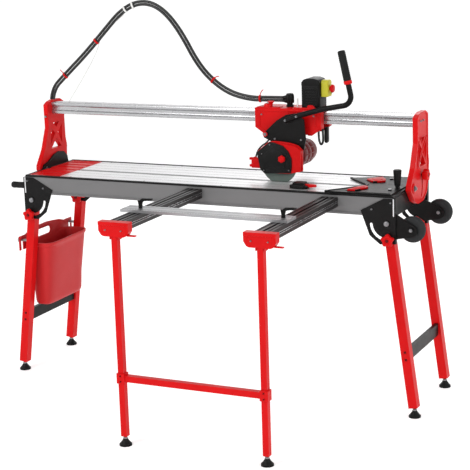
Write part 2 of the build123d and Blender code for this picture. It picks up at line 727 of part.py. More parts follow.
# ---- hose and cable between the left column and the carriage --------------------------------------
WATER_HOSE = [
    (-771.5, 1062), (-764.5, 1106), (-712, 1156), (-600, 1254), (-505, 1350), (-443, 1411), (-372, 1449), (-298, 1449),
    (-231, 1408), (-170, 1332), (-110, 1224), (-51, 1160), (23, 1113), (110, 1094), (178, 1097.2), (244, 1097.2),
]
POWER_CABLE = [
    (-759.8, 1062), (-752.6, 1101), (-703.6, 1146.4), (-591.5, 1245.4), (-496.5, 1341.4), (-436.6, 1400.4),
    (-369, 1437.4), (-301, 1437.4), (-239.5, 1399.4), (-180.5, 1324.4), (-120.5, 1216.5), (-59, 1150.4),
    (17, 1102), (109, 1082.6), (178, 1085.8), (244, 1085.8),
]


def hose(name, route, y):
    """A round hose swept along straight runs joined by large tangent arcs; prints its radii."""
    points = [Vector(x, y, z) for x, z in route]
    radii = []
    for a, b, c in zip(points, points[1:], points[2:]):
        turn = (b - a).get_angle(c - b)
        shorter = min((b - a).length, (c - b).length)
        radii.append(0.45 * shorter / math.tan(math.radians(turn) / 2))
    path = FilletPolyline(*points, radius=radii)
    start = Plane(origin=path @ 0, z_dir=path % 0)
    tube = sweep(start * Circle(HOSE_DIAMETER / 2), path=path)
    section = math.pi * HOSE_DIAMETER ** 2 / 4
    print(name, "radii", [round(r) for r in radii], "length", round(path.length), "volume ratio",
          round(tube.volume / (section * path.length), 4))
    return tube


# ---- write every node ----------------------------------------------------------------------------
save("tray_shell", tray_shell())
save("edge_strips", *edge_strips())
save("table_plates", table_plate(STRIP_WIDTH - 1, SLOT_FRONT), table_plate(SLOT_BACK, TRAY_DEPTH - STRIP_WIDTH + 1))
save("red_end_panel", red_panel())
save("table_supports", *table_supports())
save("end_plates", end_plate(-1), end_plate(1))
save("leg_brackets", *[leg_bracket(side, y) for side in (-1, 1) for y in (0.0, FRAME_PITCH)])
save("pivot_bolts", *[leg_bolt(side, y) for side in (-1, 1) for y in (0.0, FRAME_PITCH)],
     column_bolt(-1), column_bolt(1))
save("wheel_arms", *wheel_arms())
save("transport_grip", transport_grip())
save("water_pump", water_pump())
for end, wheel_y in WHEEL_YS.items():
    save(f"tyre_{end}", wheel_tyre(wheel_y))
    save(f"wheel_hub_{end}", wheel_hub(wheel_y))
for word, side in (("left", -1), ("right", 1)):
    save(f"leg_tubes_{word}", leg_tube(side, 0.0), leg_tube(side, FRAME_PITCH))
    save(f"leg_brace_{word}", leg_brace(side))
    save(f"feet_{word}", *main_feet(side))
    save(f"lock_knob_front_{word}", lock_knob(side, 0.0))
    save(f"lock_knob_rear_{word}", lock_knob(side, FRAME_PITCH))
save("bucket", bucket())
save("bucket_pegs", *bucket_pegs())
save("extension_arms", *[extension_arm(x) for x in ARM_XS])
save("arm_end_brackets", *[part for x in ARM_XS for part in (arm_bracket(x), bracket_pin(x), release_lever(x))])
save("extension_legs", crossbar(), *[part for x in ARM_XS for part in (extension_leg(x), sleeve(x))])
save("feet_extension", *[levelling_foot(x, EXT_LEG_Y, 34) for x in ARM_XS])
save("ruler_bar", ruler_bar())
save("clamp_lever_left", clamp_lever(ARM_XS[0]))
save("clamp_lever_right", clamp_lever(ARM_XS[1]))
save("guide_plate", guide_plate(), *guide_inserts())
save("guide_knob", guide_knob())
save("stop_block", stop_block())
save("bevel_knob", bevel_knob())
save("column_left", column(-1))
save("column_right", column(1))
save("beam", beam())
save("water_hose", hose("water_hose", WATER_HOSE, HOSE_Y))
save("power_cable", hose("power_cable", POWER_CABLE, HOSE_Y))
save("carriage_shell", carriage_shell())
save("guide_roller_left", guide_roller(ROLLER_XS[0]))
save("guide_roller_right", guide_roller(ROLLER_XS[1]))
save("hose_gland", hose_gland())
save("switch_box", switch_box())
save("switch_cover", switch_cover())
save("stop_button", stop_button())
save("start_button", start_button())
save("carriage_knob", carriage_knob())
save("plunge_bracket", plunge_bracket())
save("motor_housing", motor_housing())
save("guard_body", guard_body())
save("guard_cover", guard_cover())
save("handle_tube", handle_tube())
save("handle_grip", handle_grip())
save("arbor", arbor())
save("blade", blade())
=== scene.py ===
import json
import math

import bmesh
import bpy
from mathutils import Matrix, Vector


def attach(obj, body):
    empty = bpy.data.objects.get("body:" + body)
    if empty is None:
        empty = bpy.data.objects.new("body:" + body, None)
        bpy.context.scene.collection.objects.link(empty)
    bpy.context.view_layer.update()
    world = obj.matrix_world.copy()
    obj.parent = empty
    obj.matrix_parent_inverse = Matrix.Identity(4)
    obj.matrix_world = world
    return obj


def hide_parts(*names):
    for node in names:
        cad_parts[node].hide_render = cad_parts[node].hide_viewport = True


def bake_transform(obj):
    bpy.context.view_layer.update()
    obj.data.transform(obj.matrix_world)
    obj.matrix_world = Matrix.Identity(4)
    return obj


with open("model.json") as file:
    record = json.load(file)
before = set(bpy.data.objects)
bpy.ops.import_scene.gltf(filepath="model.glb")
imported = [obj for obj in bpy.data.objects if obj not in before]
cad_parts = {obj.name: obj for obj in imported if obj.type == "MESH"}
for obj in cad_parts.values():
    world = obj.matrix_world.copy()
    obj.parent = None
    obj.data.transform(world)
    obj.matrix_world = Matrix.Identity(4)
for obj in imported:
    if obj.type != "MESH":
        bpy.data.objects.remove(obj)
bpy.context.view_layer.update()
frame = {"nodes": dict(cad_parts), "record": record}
nodes = frame["nodes"]

# Working axes are those of the machine, in millimetres: X along the table from its middle, Y from the
# tray's front face to the back, Z up from the floor.  at() turns them into the row frame, in metres.


def at(x, y, z):
    return Vector(((x - 9.5) / 1000, (y + 108.5) / 1000, z / 1000))


# Places that several pieces share.
TABLE_TOP = 799
LEG_PIVOT_X, LEG_PIVOT_Z = 727, 703
LEG_LOCK_RADIUS = 57
LEG_SPLAY = math.radians(7.79)
TILT_Y, TILT_Z = 157, 800
TILT_LOCK_RADIUS = 97
TILT_LOCK_ANGLE = math.radians(20.6)
COLUMN_FACE = 773
BEAM_Y, BEAM_Z = 249, 1030
BEAM_HALF = 757
CARRIAGE_TOP = 1064
CARRIAGE_FRONT = 196
ROLLER_XS, ROLLER_Y = (190, 363), 217.7
BLADE_X, BLADE_Y, BLADE_Z = 256, 157, 862
MOTOR_X, MOTOR_Z = 297, 893
WHEEL_X, WHEEL_Z = 814, 684
ARM_XS = (-18, 515)
ARM_END = -606
CROSSBAR_FACE = -607
SIDES = (("left", -1), ("right", 1))

# ---- camera --------------------------------------------------------------------------------------
YAW, PITCH, ROLL = -0.445, -0.2241, -0.0316
forward = Vector((math.sin(YAW) * math.cos(PITCH), math.cos(YAW) * math.cos(PITCH), math.sin(PITCH)))
level = Vector((math.cos(YAW), -math.sin(YAW), 0))
rise = level.cross(forward)
right = level * math.cos(ROLL) + rise * math.sin(ROLL)
up = rise * math.cos(ROLL) - level * math.sin(ROLL)
camera_data = bpy.data.cameras.new("camera")
camera_data.lens = 114.43
camera_data.sensor_width = 36
camera_data.clip_end = 60
camera = bpy.data.objects.new("camera", camera_data)
bpy.context.collection.objects.link(camera)
turn = Matrix((right, up, -forward)).transposed()
camera.matrix_world = Matrix.Translation(at(2432.1, -4804.5, 1835.7)) @ turn.to_4x4()
bpy.context.scene.camera = camera


# ---- materials -----------------------------------------------------------------------------------
# Sockets of a Mix node set to colour.
MIX_FACTOR, MIX_A, MIX_B, MIX_RESULT = 0, 6, 7, 2


def material(name, colour, rough=0.45, metal=0.0, spread=0.12, cloud=9.0, grain=500.0, bump=0.12,
             stretch=(1, 1, 1), wear=0.0, wear_colour=(0.5, 0.5, 0.5), coat=0.0, cells=False, shine=0.5):
    """A worked surface: cloudy colour variation, fine grain in the bump and the gloss, and rubbed edges."""
    m = bpy.data.materials.new(name)
    m.use_nodes = True
    tree = m.node_tree
    shader = tree.nodes["Principled BSDF"]
    shader.inputs["Metallic"].default_value = metal
    shader.inputs["Specular IOR Level"].default_value = shine
    shader.inputs["Coat Weight"].default_value = coat
    shader.inputs["Coat Roughness"].default_value = 0.18
    where = tree.nodes.new("ShaderNodeTexCoord")
    place = tree.nodes.new("ShaderNodeMapping")
    place.inputs["Scale"].default_value = stretch
    tree.links.new(where.outputs["Object"], place.inputs["Vector"])

    def noise(scale, detail):
        n = tree.nodes.new("ShaderNodeTexNoise")
        n.inputs["Scale"].default_value = scale
        n.inputs["Detail"].default_value = detail
        tree.links.new(place.outputs["Vector"], n.inputs["Vector"])
        return n.outputs["Fac"]

    ramp = tree.nodes.new("ShaderNodeValToRGB")
    dark = [c * (1 - spread) for c in colour]
    light = [min(1.0, c * (1 + spread) + 0.001) for c in colour]
    ramp.color_ramp.elements[0].position = 0.32
    ramp.color_ramp.elements[0].color = (*dark, 1)
    ramp.color_ramp.elements[1].position = 0.68
    ramp.color_ramp.elements[1].color = (*light, 1)
    tree.links.new(noise(cloud, 4.0), ramp.inputs["Fac"])
    tint = ramp.outputs["Color"]
    if wear > 0:
        geometry = tree.nodes.new("ShaderNodeNewGeometry")
        edge = tree.nodes.new("ShaderNodeMapRange")
        edge.inputs["From Min"].default_value = 0.53
        edge.inputs["From Max"].default_value = 0.62
        edge.inputs["To Max"].default_value = wear
        tree.links.new(geometry.outputs["Pointiness"], edge.inputs["Value"])
        rubbed = tree.nodes.new("ShaderNodeMix")
        rubbed.data_type = "RGBA"
        rubbed.inputs[MIX_B].default_value = (*wear_colour, 1)
        tree.links.new(edge.outputs["Result"], rubbed.inputs[MIX_FACTOR])
        tree.links.new(tint, rubbed.inputs[MIX_A])
        tint = rubbed.outputs[MIX_RESULT]
    tree.links.new(tint, shader.inputs["Base Color"])
    gloss = tree.nodes.new("ShaderNodeMapRange")
    gloss.inputs["To Min"].default_value = max(0.05, rough - 0.07)
    gloss.inputs["To Max"].default_value = min(1.0, rough + 0.07)
    tree.links.new(noise(cloud * 5, 3.0), gloss.inputs["Value"])
    tree.links.new(gloss.outputs["Result"], shader.inputs["Roughness"])
    if cells:
        fine = tree.nodes.new("ShaderNodeTexVoronoi")
        fine.inputs["Scale"].default_value = grain
        tree.links.new(place.outputs["Vector"], fine.inputs["Vector"])
        height = fine.outputs["Distance"]
    else:
        height = noise(grain, 2.0)
    relief = tree.nodes.new("ShaderNodeBump")
    relief.inputs["Strength"].default_value = bump
    relief.inputs["Distance"].default_value = 0.0006
    tree.links.new(height, relief.inputs["Height"])
    tree.links.new(relief.outputs["Normal"], shader.inputs["Normal"])
    return m


M = {
    "grey_paint": material("grey_powder_coat", (0.118, 0.116, 0.118), rough=0.42, spread=0.05, grain=900,
                           bump=0.08, wear=0.2, wear_colour=(0.3, 0.3, 0.3), shine=0.3),
    "black_paint": material("black_powder_coat", (0.0048, 0.0045, 0.0045), rough=0.34, grain=900, bump=0.10,
                            wear=0.1, wear_colour=(0.03, 0.03, 0.03), shine=0.12),
    "red_paint": material("red_powder_coat", (0.60, 0.004, 0.005), rough=0.32, spread=0.05, grain=800,
                          bump=0.08, shine=0.10),
    # Dark red coat; on the motor barrel it is painted shade, a darkened copy of the red paint standing in for
    # the shade on the motor.
    "dark_red_paint": material("dark_and_shaded_red_powder_coat", (0.13, 0.002, 0.003), rough=0.34, spread=0.10,
                               grain=800, bump=0.10, shine=0.12),
    "red_plastic": material("red_moulded_plastic", (0.58, 0.004, 0.005), rough=0.34, spread=0.06,
                            grain=700, bump=0.08, shine=0.10),
    "bucket_red": material("bucket_red_plastic", (0.50, 0.016, 0.018), rough=0.42, spread=0.07, cloud=5,
                           grain=600, bump=0.10, shine=0.2),
    "black_plastic": material("black_moulded_plastic", (0.005, 0.005, 0.005), rough=0.42, grain=650,
                              bump=0.12, cells=True, shine=0.16),
    "aluminium_plate": material("milled_aluminium", (0.74, 0.74, 0.75), rough=0.34, metal=0.5, spread=0.03,
                                cloud=6, grain=300, bump=0.02),
    "ruler_aluminium": material("ruler_aluminium", (0.36, 0.36, 0.37), rough=0.34, metal=0.7, spread=0.04,
                                cloud=9, grain=300, bump=0.02),
    "beam_aluminium": material("extruded_aluminium", (0.45, 0.45, 0.46), rough=0.26, metal=0.9, spread=0.04,
                               cloud=9, grain=300, bump=0.02),
    "dark_aluminium": material("dark_anodised_aluminium", (0.012, 0.0095, 0.0095), rough=0.34, metal=0.1,
                               cloud=6, grain=70, bump=0.02, stretch=(40, 1, 40), shine=0.3),
    "bare_steel": material("turned_steel", (0.30, 0.30, 0.31), rough=0.34, metal=1.0, cloud=60, grain=400,
                           bump=0.08),
    "tyre_rubber": material("tyre_rubber", (0.012, 0.013, 0.014), rough=0.62, grain=420, bump=0.3, shine=0.3),
    "yellow_plastic": material("yellow_moulded_plastic", (0.58, 0.54, 0.03), rough=0.38, grain=600,
                               bump=0.08, shine=0.3),
    "green_plastic": material("green_moulded_plastic", (0.02, 0.26, 0.06), rough=0.35, grain=600, bump=0.06),
    "blade_green": material("painted_blade", (0.022, 0.11, 0.060), rough=0.35, metal=0.2, cloud=30,
                            grain=300, bump=0.05, shine=0.3),
    "hose_rubber": material("hose_rubber", (0.010, 0.010, 0.010), rough=0.34, grain=500, bump=0.10,
                            shine=0.45),
    "foam_black": material("foam_grip", (0.007, 0.007, 0.007), rough=0.75, grain=900, bump=0.45, cells=True,
                           shine=0.25),
    "pale_plastic": material("pale_nylon", (0.72, 0.72, 0.70), rough=0.4, grain=500, bump=0.05),
    "grit": material("diamond_rim", (0.13, 0.17, 0.15), rough=0.7, metal=0.4, grain=1200, bump=0.6,
                     cells=True),
}
slots = {entry["node"]: entry["material_slot"] for entry in frame["record"]["subparts"]}
own_looks = {"beam": "beam_aluminium", "ruler_bar": "ruler_aluminium"}
for node, obj in nodes.items():
    key = own_looks.get(node, slots[node])
    for place in obj.material_slots:
        place.material = M[key]


# ---- mesh helpers --------------------------------------------------------------------------------
def finish(name, bm, mat, body, smooth=40, ride=True):
    """Turns a bmesh into an object that rides on a body, with smooth shading up to an angle."""
    bmesh.ops.recalc_face_normals(bm, faces=bm.faces)
    limit = math.radians(smooth)
    for face in bm.faces:
        face.smooth = True
    for edge in bm.edges:
        edge.smooth = len(edge.link_faces) == 2 and edge.calc_face_angle(3.2) < limit
    mesh = bpy.data.meshes.new(name)
    bm.to_mesh(mesh)
    bm.free()
    mesh.materials.append(M[mat])
    obj = bpy.data.objects.new(name, mesh)
    bpy.context.collection.objects.link(obj)
    if ride:
        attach(obj, body)
    return obj


def soften(bm, width, segments=2, sharp=30):
    """Rounds every edge sharper than an angle."""
    limit = math.radians(sharp)
    edges = [e for e in bm.edges if len(e.link_faces) == 2 and e.calc_face_angle(0) > limit]
    bmesh.ops.bevel(bm, geom=edges, offset=width / 1000, segments=segments, profile=0.5, affect="EDGES",
                    clamp_overlap=True)


def to_point(plane, u, v, w):
    """A point from plane coordinates and a height over the plane."""
    if plane == "xz":
        return at(u, w, v)
    if plane == "yz":
        return at(w, u, v)
    return at(u, v, w)


def prism(bm, outline, plane, low, high, bevel=1.0, holes=(), segments=2):
    """Adds a plate with rounded edges to a bmesh; its outline may hold holes."""
    part = bmesh.new()
    edges = []
    for loop in (outline, *holes):
        ring = [part.verts.new(to_point(plane, u, v, low)) for u, v in loop]
        edges += [part.edges.new((a, b)) for a, b in zip(ring, ring[1:] + ring[:1])]
    faces = bmesh.ops.triangle_fill(part, edges=edges, use_beauty=True)["geom"]
    faces = [f for f in faces if isinstance(f, bmesh.types.BMFace)]
    grown = bmesh.ops.extrude_face_region(part, geom=faces)["geom"]
    rise_by = to_point(plane, 0, 0, high) - to_point(plane, 0, 0, low)
    bmesh.ops.translate(part, vec=rise_by, verts=[g for g in grown if isinstance(g, bmesh.types.BMVert)])
    bmesh.ops.recalc_face_normals(part, faces=part.faces)
    if bevel:
        soften(part, bevel, segments)
    add(bm, part)


def add(bm, part):
    """Puts one bmesh into another."""
    mesh = bpy.data.meshes.new("part")
    part.to_mesh(mesh)
    part.free()
    bm.from_mesh(mesh)
    bpy.data.meshes.remove(mesh)


def block(bm, x0, x1, y0, y1, z0, z1, bevel=1.0, segments=2):
    """Adds a box with rounded edges."""
    prism(bm, [(x0, y0), (x1, y0), (x1, y1), (x0, y1)], "xy", z0, z1, bevel, segments=segments)


AXES = {
    "x": (Vector((0, 1, 0)), Vector((0, 0, 1)), Vector((1, 0, 0))),
    "y": (Vector((0, 0, 1)), Vector((1, 0, 0)), Vector((0, 1, 0))),
    "z": (Vector((1, 0, 0)), Vector((0, 1, 0)), Vector((0, 0, 1))),
}


def lathe(bm, centre, axis, profile, count=40, wave=None):
    """Adds a turned form; profile is radius and height along the axis, in millimetres.
    wave(angle) scales the radius, for knobs with lobes."""
    a, b, c = AXES[axis] if isinstance(axis, str) else axis
    origin = at(*centre)
    rings = []
    for radius, height in profile:
        ring = []
        for i in range(count):
            angle = 2 * math.pi * i / count
            r = radius * (wave(angle) if wave else 1) / 1000
            spoke = origin + a * r * math.cos(angle) + b * r * math.sin(angle)
            ring.append(bm.verts.new(spoke + c * height / 1000))
        rings.append(ring)
    for low, high in zip(rings, rings[1:]):
        for i in range(count):
            j = (i + 1) % count
            bm.faces.new((low[i], low[j], high[j], high[i]))
    bm.faces.new(rings[0][::-1])
    bm.faces.new(rings[-1])


def hexbolt(bm, centre, axis, size=7.0, flip=False):
    """Adds a hexagon head on a washer, standing on a face."""
    s = -1 if flip else 1
    lathe(bm, centre, axis, [(size * 1.25, 0), (size * 1.25, s * 1.0), (size * 1.15, s * 1.5)], 28)
    lathe(bm, centre, axis, [(size, s * 1.4), (size, s * 4.4), (size * 0.86, s * 5.2)], 6)
    lathe(bm, centre, axis, [(size * 0.45, s * 5.1), (size * 0.42, s * 6.2), (size * 0.2, s * 6.5)], 16)


def pipe(bm, points, radius, sides=16, caps=True):
    """Adds a round tube along points in the row frame; the radius may change along it."""
    count = len(points)
    radii = radius if isinstance(radius, (list, tuple)) else [radius] * count
    tangents = []
    for i in range(count):
        tangents.append((points[min(i + 1, count - 1)] - points[max(i - 1, 0)]).normalized())
    side = tangents[0].orthogonal().normalized()
    rings = []
    for p, t, r in zip(points, tangents, radii):
        side = (side - t * side.dot(t)).normalized()
        other = t.cross(side)
        ring = []
        for k in range(sides):
            angle = 2 * math.pi * k / sides
            ring.append(bm.verts.new(p + (side * math.cos(angle) + other * math.sin(angle)) * r / 1000))
        rings.append(ring)
    for low, high in zip(rings, rings[1:]):
        for k in range(sides):
            j = (k + 1) % sides
            bm.faces.new((low[k], low[j], high[j], high[k]))
    if caps:
        bm.faces.new(rings[0][::-1])
        bm.faces.new(rings[-1])


def nurbs(points):
    """The smooth line that a run of control points gives, as points in the row frame."""
    curve = bpy.data.curves.new("line", "CURVE")
    curve.dimensions = "3D"
    curve.resolution_u = 12
    spline = curve.splines.new("NURBS")
    spline.points.add(len(points) - 1)
    for p, q in zip(spline.points, points):
        p.co = (*q, 1)
    spline.order_u = 3
    spline.use_endpoint_u = True
    holder = bpy.data.objects.new("line", curve)
    bpy.context.collection.objects.link(holder)
    bpy.context.view_layer.update()
    mesh = bpy.data.meshes.new_from_object(holder)
    line = [v.co.copy() for v in mesh.vertices]
    bpy.data.objects.remove(holder)
    bpy.data.meshes.remove(mesh)
    bpy.data.curves.remove(curve)
    return line


# ---- hose and cable from the left column to the carriage -----------------------------------------
HOSE_Y = 250
WATER_HOSE = [
    (-771.5, 1062), (-764.5, 1106), (-712, 1156), (-600, 1254), (-505, 1350), (-443, 1411), (-372, 1449),
    (-298, 1449), (-231, 1408), (-170, 1332), (-110, 1224), (-51, 1160), (23, 1113), (110, 1094),
    (178, 1097.2), (244, 1097.2),
]
POWER_CABLE = [
    (-759.8, 1062), (-752.6, 1101), (-703.6, 1146.4), (-591.5, 1245.4), (-496.5, 1341.4), (-436.6, 1400.4),
    (-369, 1437.4), (-301, 1437.4), (-239.5, 1399.4), (-180.5, 1324.4), (-120.5, 1216.5), (-59, 1150.4),
    (17, 1102), (109, 1082.6), (178, 1085.8), (244, 1085.8),
]


def length_of(line):
    """The length of a run of points."""
    return sum((b - a).length for a, b in zip(line, line[1:]))


lines = {}
CORDS = (("hose_tube", "water_hose", WATER_HOSE), ("cable_tube", "power_cable", POWER_CABLE))
for name, node, route in CORDS:
    line = nurbs([at(x, HOSE_Y, z) for x, z in route])
    lines[name] = line
    bm = bmesh.new()
    pipe(bm, line, 5.45, sides=20)
    tube = finish(name, bm, "hose_rubber", "bridge", ride=False)
    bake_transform(tube)
    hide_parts(node)


def bundle_at(share):
    """Middle of the bundle and its direction, at a share of the line's length."""
    line = lines["hose_tube"]
    other = lines["cable_tube"]
    reach = share * length_of(line)
    for a, b in zip(line, line[1:]):
        step = (b - a).length
        if reach <= step:
            break
        reach -= step
    p = a + (b - a) * (reach / step)
    near = min(other, key=lambda q: (q - p).length)
    return (p + near) / 2, (b - a).normalized()


def tie(name, share, mat, tail=None):
    """A strap round the two tubes, with perhaps a free tail."""
    centre, along = bundle_at(share)
    out = Vector((0, 1, 0))
    side = along.cross(out).normalized()
    bm = bmesh.new()
    ring = []
    for i in range(33):
        angle = 2 * math.pi * i / 32
        ring.append(centre + side * 0.0125 * math.cos(angle) + out * 0.0072 * math.sin(angle))
    for shift in (-0.0022, 0, 0.0022):
        pipe(bm, [p + along * shift for p in ring], 1.5, sides=8)
    if tail:
        tip = Vector((tail[0] / 1000, 0, tail[1] / 1000))
        elbow = centre + side * 0.014 + tip * 0.5 + Vector((0, -0.004, 0))
        bend = [centre + side * 0.012, elbow, centre + tip]
        pipe(bm, nurbs(bend), 1.7, sides=8)
    strap = finish(name, bm, mat, "bridge", ride=False)
    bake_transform(strap)


tie("tie_low", 0.095, "red_plastic", tail=(-22, 22))
tie("tie_rise", 0.245, "red_plastic")
tie("tie_pale_a", 0.385, "pale_plastic")
tie("tie_pale_b", 0.415, "pale_plastic")
tie("tie_fall", 0.77, "red_plastic", tail=(26, 14))
tie("tie_end", 0.925, "red_plastic", tail=(14, 34))

bm = bmesh.new()
wire = nurbs([at(-690, 250, 1053), at(-640, 250, 1120), at(-585, 252, 1200), at(-545, 252, 1265),
              at(-530, 254, 1320), at(-480, 256, 1360), at(-425, 257, 1398)])
pipe(bm, wire, 1.6, sides=8)
wire_obj = finish("support_wire", bm, "pale_plastic", "bridge", ride=False)
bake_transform(wire_obj)


# ---- tray and table trim -------------------------------------------------------------------------
bm = bmesh.new()
block(bm, -748, 748, -2.2, 0.5, 730, 737, 0.8)
block(bm, -748, 748, 353.5, 356.2, 730, 737, 0.8)
finish("tray_lip", bm, "grey_paint", "table")
bm = bmesh.new()
for x in (-752.5, 752.5):
    for y in (-2.4, 355.4):
        block(bm, x - 2.2, x + 2.2, y - 1.6, y + 1.6, 730, 792, 0.8)
finish("corner_trims", bm, "aluminium_plate", "table")

bm = bmesh.new()
for x in (-690, -560, -240, 80, 420, 640):
    for y in (22, 336):
        lathe(bm, (x, y, TABLE_TOP), "z", [(3.4, -0.4), (3.4, 0.4), (2.8, 0.7), (1.2, 0.7), (1.0, 0.2)], 20)
finish("table_screws", bm, "bare_steel", "table")

bm = bmesh.new()
for y in (150.2, 167.8):
    block(bm, -604, 739, y - 0.6, y + 0.6, 795, 799.6, 0.2)
for y in (60, 105, 215, 262, 310):
    block(bm, -604, 480, y - 0.3, y + 0.3, 798.6, 799.2, 0)
finish("table_grooves", bm, "dark_aluminium", "table")

bm = bmesh.new()
for x0, x1 in ((-741, -735), (-612, -606)):
    block(bm, x0, x1, 12, 148, 797, 800.6, 1.2)
    block(bm, x0, x1, 170, 340, 797, 800.6, 1.2)
for y in (12, 60, 108, 212, 260, 308, 334):
    block(bm, -735, -612, y, y + 6, 797, 800.4, 1.2)
finish("panel_ribs", bm, "red_plastic", "table")


# ---- knobs ---------------------------------------------------------------------------------------
def star(name, centre, axis, radius, depth, body, node, flip=False, mat="red_plastic", stem=0):
    """A five-lobed hand knob with a dished centre and a dark insert, in place of the plain solid."""
    s = -1 if flip else 1

    def wave(angle):
        return 0.87 + 0.13 * math.cos(5 * angle)

    bm = bmesh.new()
    profile = [(radius * 0.5, -s * depth * 0.5), (radius * 0.9, -s * depth * 0.5),
               (radius, -s * depth * 0.32), (radius, s * depth * 0.28),
               (radius * 0.93, s * depth * 0.46), (radius * 0.84, s * depth * 0.5),
               (radius * 0.46, s * depth * 0.5), (radius * 0.38, s * depth * 0.36)]
    lathe(bm, centre, axis, profile, 80, wave)
    neck = [(radius * 0.4, -s * (depth * 0.5 + stem)), (radius * 0.46, -s * depth * 0.45)]
    lathe(bm, centre, axis, neck, 24)
    obj = finish(name, bm, mat, body, smooth=50)
    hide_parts(node)
    bm = bmesh.new()
    lathe(bm, centre, axis, [(radius * 0.26, s * depth * 0.3), (radius * 0.26, s * depth * 0.42),
                             (radius * 0.2, s * depth * 0.46)], 6)
    lathe(bm, centre, axis, [(4.6, -s * (depth * 0.5 + stem + 8.6)), (4.6, -s * depth * 0.4)], 20)
    finish(name + "_insert", bm, "dark_red_paint", body)


lock_x = LEG_PIVOT_X + LEG_LOCK_RADIUS * math.sin(LEG_SPLAY)
lock_z = LEG_PIVOT_Z - LEG_LOCK_RADIUS * math.cos(LEG_SPLAY)
for word, side in SIDES:
    for end, y in (("front", 0), ("rear", 357)):
        star(f"star_{end}_{word}", (side * lock_x, y - 18, lock_z), "y", 24, 18, f"knob_{end[0]}{word[0]}",
             f"lock_knob_{end}_{word}", flip=True, stem=5)
knob_y = TILT_Y + TILT_LOCK_RADIUS * math.cos(TILT_LOCK_ANGLE)
knob_z = TILT_Z + TILT_LOCK_RADIUS * math.sin(TILT_LOCK_ANGLE)
star("star_bevel", (789, knob_y, knob_z), "x", 22, 20, "bevel_knob", "bevel_knob", stem=1)


# ---- bolts and pivots ----------------------------------------------------------------------------
bm = bmesh.new()
for side in (-1, 1):
    for y in (-8.0, 349.0):
        hexbolt(bm, (side * LEG_PIVOT_X, y, LEG_PIVOT_Z), "y", 6.0, flip=True)
    hexbolt(bm, (side * 780, TILT_Y, TILT_Z), "x", 6.0, flip=side < 0)
    for x, z in ((742, 778), (672, 752)):
        hexbolt(bm, (side * x, -3, z), "y", 2.6, flip=True)
for y in (-2, 311):
    hexbolt(bm, (WHEEL_X, y, WHEEL_Z), "y", 5.0, flip=True)
finish("frame_bolts", bm, "bare_steel", "table")

bm = bmesh.new()
for side in (-1, 1):
    for y, z in ((236, 1030), (262, 1030)):
        hexbolt(bm, (side * COLUMN_FACE, y, z), "x", 3.4, flip=side < 0)
lathe(bm, (-765, 194, 1000), "y", [(4, -9), (4, 4)], 16)
lathe(bm, (-765, 322, 861), "y", [(4, -4), (4, 12)], 16)
finish("column_bolts", bm, "bare_steel", "bridge")

bm = bmesh.new()
hexbolt(bm, (200, 158, 972), "y", 5.0, flip=True)
finish("plunge_bolt", bm, "bare_steel", "carriage")
bm = bmesh.new()
hexbolt(bm, (286, 149, 1027), "y", 3.4, flip=True)
hexbolt(bm, (330, 149, 1043), "y", 3.4, flip=True)
for x, z in ((340, 955), (236, 955)):
    hexbolt(bm, (x, 168, z), "y", 3.0, flip=True)
finish("bracket_bolts", bm, "bare_steel", "head")


# ---- columns: raised rims and ribs over the castings ---------------------------------------------
OUTLINE = [
    (194, 1046), (214, 1056), (240, 1061), (290, 1061), (316, 1048), (318, 900), (325, 872), (320, 806),
    (300, 760), (262, 738), (205, 736), (160, 752), (116, 798), (118, 816), (160, 872), (196, 955),
]


def inset(points, by):
    """An outline drawn inward by some millimetres, from a loop that runs clockwise."""
    count = len(points)
    result = []
    for i, p in enumerate(points):
        before = Vector(points[i - 1])
        here = Vector(p)
        after = Vector(points[(i + 1) % count])
        n1 = (here - before).normalized()
        n2 = (after - here).normalized()
        n1 = Vector((n1.y, -n1.x))
        n2 = Vector((n2.y, -n2.x))
        mid = (n1 + n2).normalized()
        result.append(tuple(here + mid * by / max(0.5, mid.dot(n1))))
    return result


WINDOWS = [
    [(231, 970), (275, 970), (253, 950)],
    [(296, 958), (290, 880), (262, 928)],
    [(215, 952), (203, 884), (243, 928)],
    [(208, 868), (284, 868), (250, 908)],
]
for word, side in SIDES:
    bm = bmesh.new()
    face = side * COLUMN_FACE
    low, high = sorted((face - side * 1.0, face + side * 2.6))
    prism(bm, OUTLINE, "yz", low, high, 1.0, holes=[inset(OUTLINE, 7)])
    for window in WINDOWS:
        middle = sum((Vector(p) for p in window), Vector((0, 0))) / 3
        outer = [tuple(middle + (Vector(p) - middle) * 1.32) for p in window]
        prism(bm, outer, "yz", low, high, 0.8, holes=[window])
    lathe(bm, (face - side * 1, TILT_Y, TILT_Z), "x", [(19, 0), (19, side * 3.2), (17, side * 4)], 32)
    finish(f"column_rim_{word}", bm, "red_paint", "bridge")


# ---- beam: a hollow rounded track in the front and the back --------------------------------------
def track(side):
    """Half of the beam's section: the front at side -1, the back at side 1, from bottom to top."""
    face = BEAM_Y + side * 23
    points = [(face - side * 6, 1007), (face - side * 1.5, 1008.5), (face, 1012), (face, 1017.5)]
    for i in range(9):
        angle = math.pi * i / 8
        points.append((face - side * 6.2 * math.sin(angle), BEAM_Z - 11 * math.cos(angle)))
    return points + [(face, 1042.5), (face, 1048), (face - side * 1.5, 1051.5), (face - side * 6, 1053)]


bm = bmesh.new()
prism(bm, track(-1)[::-1] + track(1), "yz", -BEAM_HALF, BEAM_HALF, 0)
bar = finish("beam_extrusion", bm, "beam_aluminium", "bridge", smooth=32)
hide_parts("beam")


